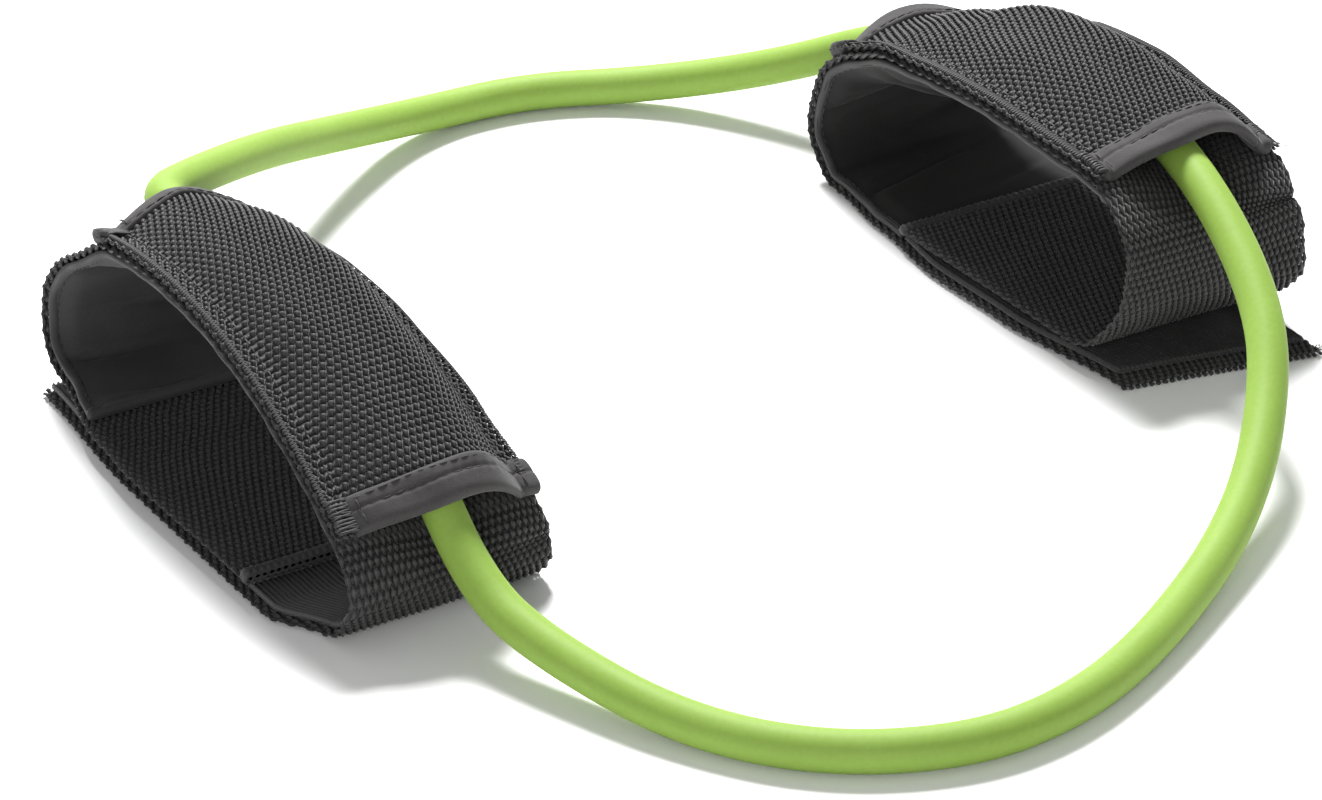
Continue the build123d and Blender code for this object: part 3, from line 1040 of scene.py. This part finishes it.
# Each cuff's numbers, by name:
# tail_lean     how far the tail's cut end slants across the strap
# settled       rows of s, how far the whole strip, its near edge and its far edge have sunk
#               there, how far the far edge is drawn in, and how far the strip is shifted across
# hem           half the length and half the height of the inner strap's closed end
# edge_bite     how far in from the sleeve's edge its zigzag stitches reach
# lining_fold   where the lining has its broad fold, and how high that is
# ripple        how high the sleeve's uneven waves are
# rim           the width and the height of the lining's bound edges
# lined, hooked from where to where along the strap the lining and the hook tape run
# taped         where the loop tape starts, and tape_border how far short of the tail it ends
# tape_from     where across the sleeve its front binding starts
# tab_inset     how far in from the far edge the bindings' tabs stand
# frayed        places with loose fibres: the surface, s, x, and whether they rise or fall
left = Cuff("left", -CUFF_SPACING / 2, (7.9, -59.5), 110.4, (-43.5, 15.5), (-40.6, 17), 1)
left.tail_lean = 0.0
left.trace(
    (-40, UPPER_LAYER),
    [((59.5, UPPER_LAYER), 8), ((71, 15.5), 10), ((56, 36.5), 22)],
    [((-68.5, 12), 6), ((-63.8, WEBBING / 2), 9)],
    -60,
    62,
    (18, 12),
)
left.settled = [
    (0, 0, 0, 0, 0, -7.7),
    (50, 0, 0, 0, -3, -8.7),
    (66, 0, 0, 0, -3, -7.6),
    (100, 0, 0, 0, 0, -1.5),
    (116, 0, 0, 0, 0, 0),
    (left.arch_start - 35, 0, -0.8, 2, 1, 0),
    (left.arch_start - 18, 1.1, -0.8, 5, 2, 0),
    (left.arch_start, 2.8, -3.3, 8.6, 6.0, 0),
    (left.arch_start + 26, 1.2, -1.2, 10.2, 4.6, 0),
    (left.arch_start + 52, 0, 0, 11.6, 3.8, 0),
    (left.arch_stop - 28, 0, 0, 10.4, 2.4, 0),
    (left.arch_stop - 4, 0, -1, 6.5, 1.8, 0),
    (left.arch_stop + 5, 0, -1, 6.5, 0.8, 0),
    (left.arch_stop + 13, 0, 0, 1.5, 1.0, 0),
    (left.hinge, 0, 0, 0, 1, -0.5),
    (left.hinge + 14, 0, 0, 0, -3, -7),
    (left.hinge + 75, 0, 0, 0, -3, -7.2),
    (left.end, 0, 0, 0, -2, -4.2),
]
left.hem = (1.9, 1.75)
left.edge_bite = 1.9
left.lining_fold = (left.arch_start - 8, 1.2)
left.ripple = 0.5
left.rim = (2.4, 1.8)
left.rim_cloth = RIM
left.lining_cloth = LINING
left.tape_cloth = RIBBED
left.lined = (75, left.arch_stop)
left.hooked = (3, 90)
left.taped = left.arch_stop + 1
left.tape_border = 2.2
left.tape_from = -19.9
left.tab_inset = 0.0
left.frayed = [(left.sleeve, left.sleeve_length() - 1, 17, 1)]

right = Cuff("right", CUFF_SPACING / 2, (-10, -141.4), 188.9, (-12.2, 18.8), (-11.4, 20.6), -1)
right.tail_lean = 10.0
right.trace(
    (20, UPPER_LAYER),
    [((-49, UPPER_LAYER), 8), ((-58.5, 18), 12), ((-60.5, 36.5), 7)],
    [((61.5, 28.5), 10), ((65.8, 11), 9), ((56, WEBBING / 2), 6)],
    51,
    -66,
    (10, 16),
)
right.settled = [
    (0, 0, 0, 0, -4.5, -4.5),
    (62, 0, 0, 0, -3, -3.0),
    (right.arch_start - 32, 0, 0, -1.8, 0, -0.5),
    (right.arch_start - 22, 0, 0, 2.2, 0.3, 0),
    (right.arch_start - 11, 0.8, -1, 6, 1, 0),
    (right.arch_start + 3, 0.4, -1.8, 4.6, 0.4, 0),
    (right.arch_start + 25, 0, 0, 4.8, -0.8, 0),
    (right.arch_start + 50, 0.2, -0.2, 3.4, -2.0, 0),
    (right.arch_start + 70, 1.5, -2.0, 1.8, -2.0, 0),
    (right.arch_stop - 16, 3.8, -5.4, 1.8, -0.4, 0),
    (right.arch_stop, 6.0, -5.8, 1.6, 1.0, 0),
    (right.arch_stop + 15, 2.4, -2.0, 0.4, 0.3, 0),
    (right.arch_stop + 27, 0, 0, 0, 0, 0),
    (right.hinge, 0, 0, 0, 0, -0.5),
    (right.hinge + 21, 0, 0, 0, -3, -3),
    (right.hinge + 48, 0, 0, 0, -5.8, -5.8),
    (right.hinge + 75, 0, 0, 0, -1, -5.0),
    (right.end, 0, 0, 0, 4, -0.2),
]
right.hem = (1.5, 1.25)
right.edge_bite = 2.8
right.lining_fold = (right.arch_stop - 14, 3.2)
right.ripple = 0.45
right.rim = (1.8, 1.8)
right.rim_cloth = LINING
# painted shade: the right cuff's lining is a darker copy of the left's
right.lining_cloth = PAINTED_SHADE_LINING
right.tape_cloth = PILE
right.lined = (right.arch_start, right.hinge + 30)
right.hooked = (3, 58)
right.taped = right.hinge + 28
right.tape_border = 5.0
right.tape_from = -22.4
right.tab_inset = 3.0
right.frayed = [
    (right.sleeve, 1, STRAP_WIDTH / 2 - 1, 1),
    (right.strap, right.end - 2, STRAP_WIDTH / 2, -1),
]

bpy.context.scene.view_settings.view_transform = "Standard"
camera()
tube()
for cuff in (left, right):
    straps(cuff)
    sleeve(cuff)
    bindings(cuff)
    seams(cuff)
    tape_seams(cuff)
    tacks(cuff)
    hems(cuff)
    frays(cuff)
    lining_pads(cuff)
    lining_rims(cuff)
    loop_tapes(cuff)
    hook_tapes(cuff)
connector()
studio()
